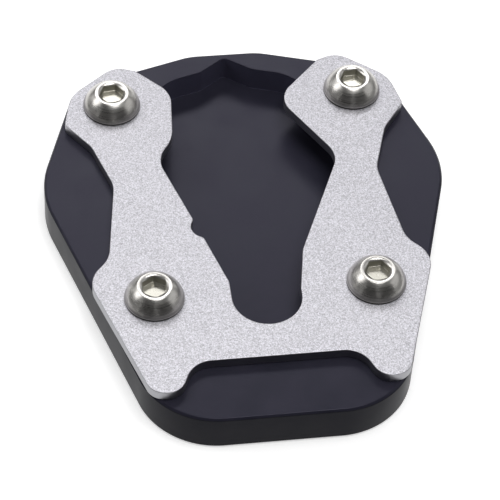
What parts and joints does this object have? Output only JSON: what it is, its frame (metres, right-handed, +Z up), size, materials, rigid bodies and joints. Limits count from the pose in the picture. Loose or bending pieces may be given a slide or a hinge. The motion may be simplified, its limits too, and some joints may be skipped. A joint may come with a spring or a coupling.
{
  "type": "kickstand foot enlarger",
  "caption": "Wide flat base pad with a sunk pocket, and a slotted clamp plate screwed on top, which widen the foot of a motorcycle's side stand.",
  "frame": {"origin": "middle of the base pad's flat underside, halfway along its length", "axes": "+Y from the narrow front edge, between the plate's legs, to the back edge, between its ears; +X to the right seen from the front; +Z up from the ground through the screws"},
  "size_m": [0.0714, 0.0838, 0.0128],
  "materials": {
    "black_anodised": "satin black anodised, with a faint blue-violet tint",
    "silver_blasted": "bead-blasted and clear anodised, light silver",
    "stainless_screw": "turned stainless steel, plain"
  },
  "bodies": {
    "root": {"base_pad": "black_anodised", "clamp_plate": "silver_blasted", "clamp_screws": "stainless_screw"}
  },
  "joints": []
}
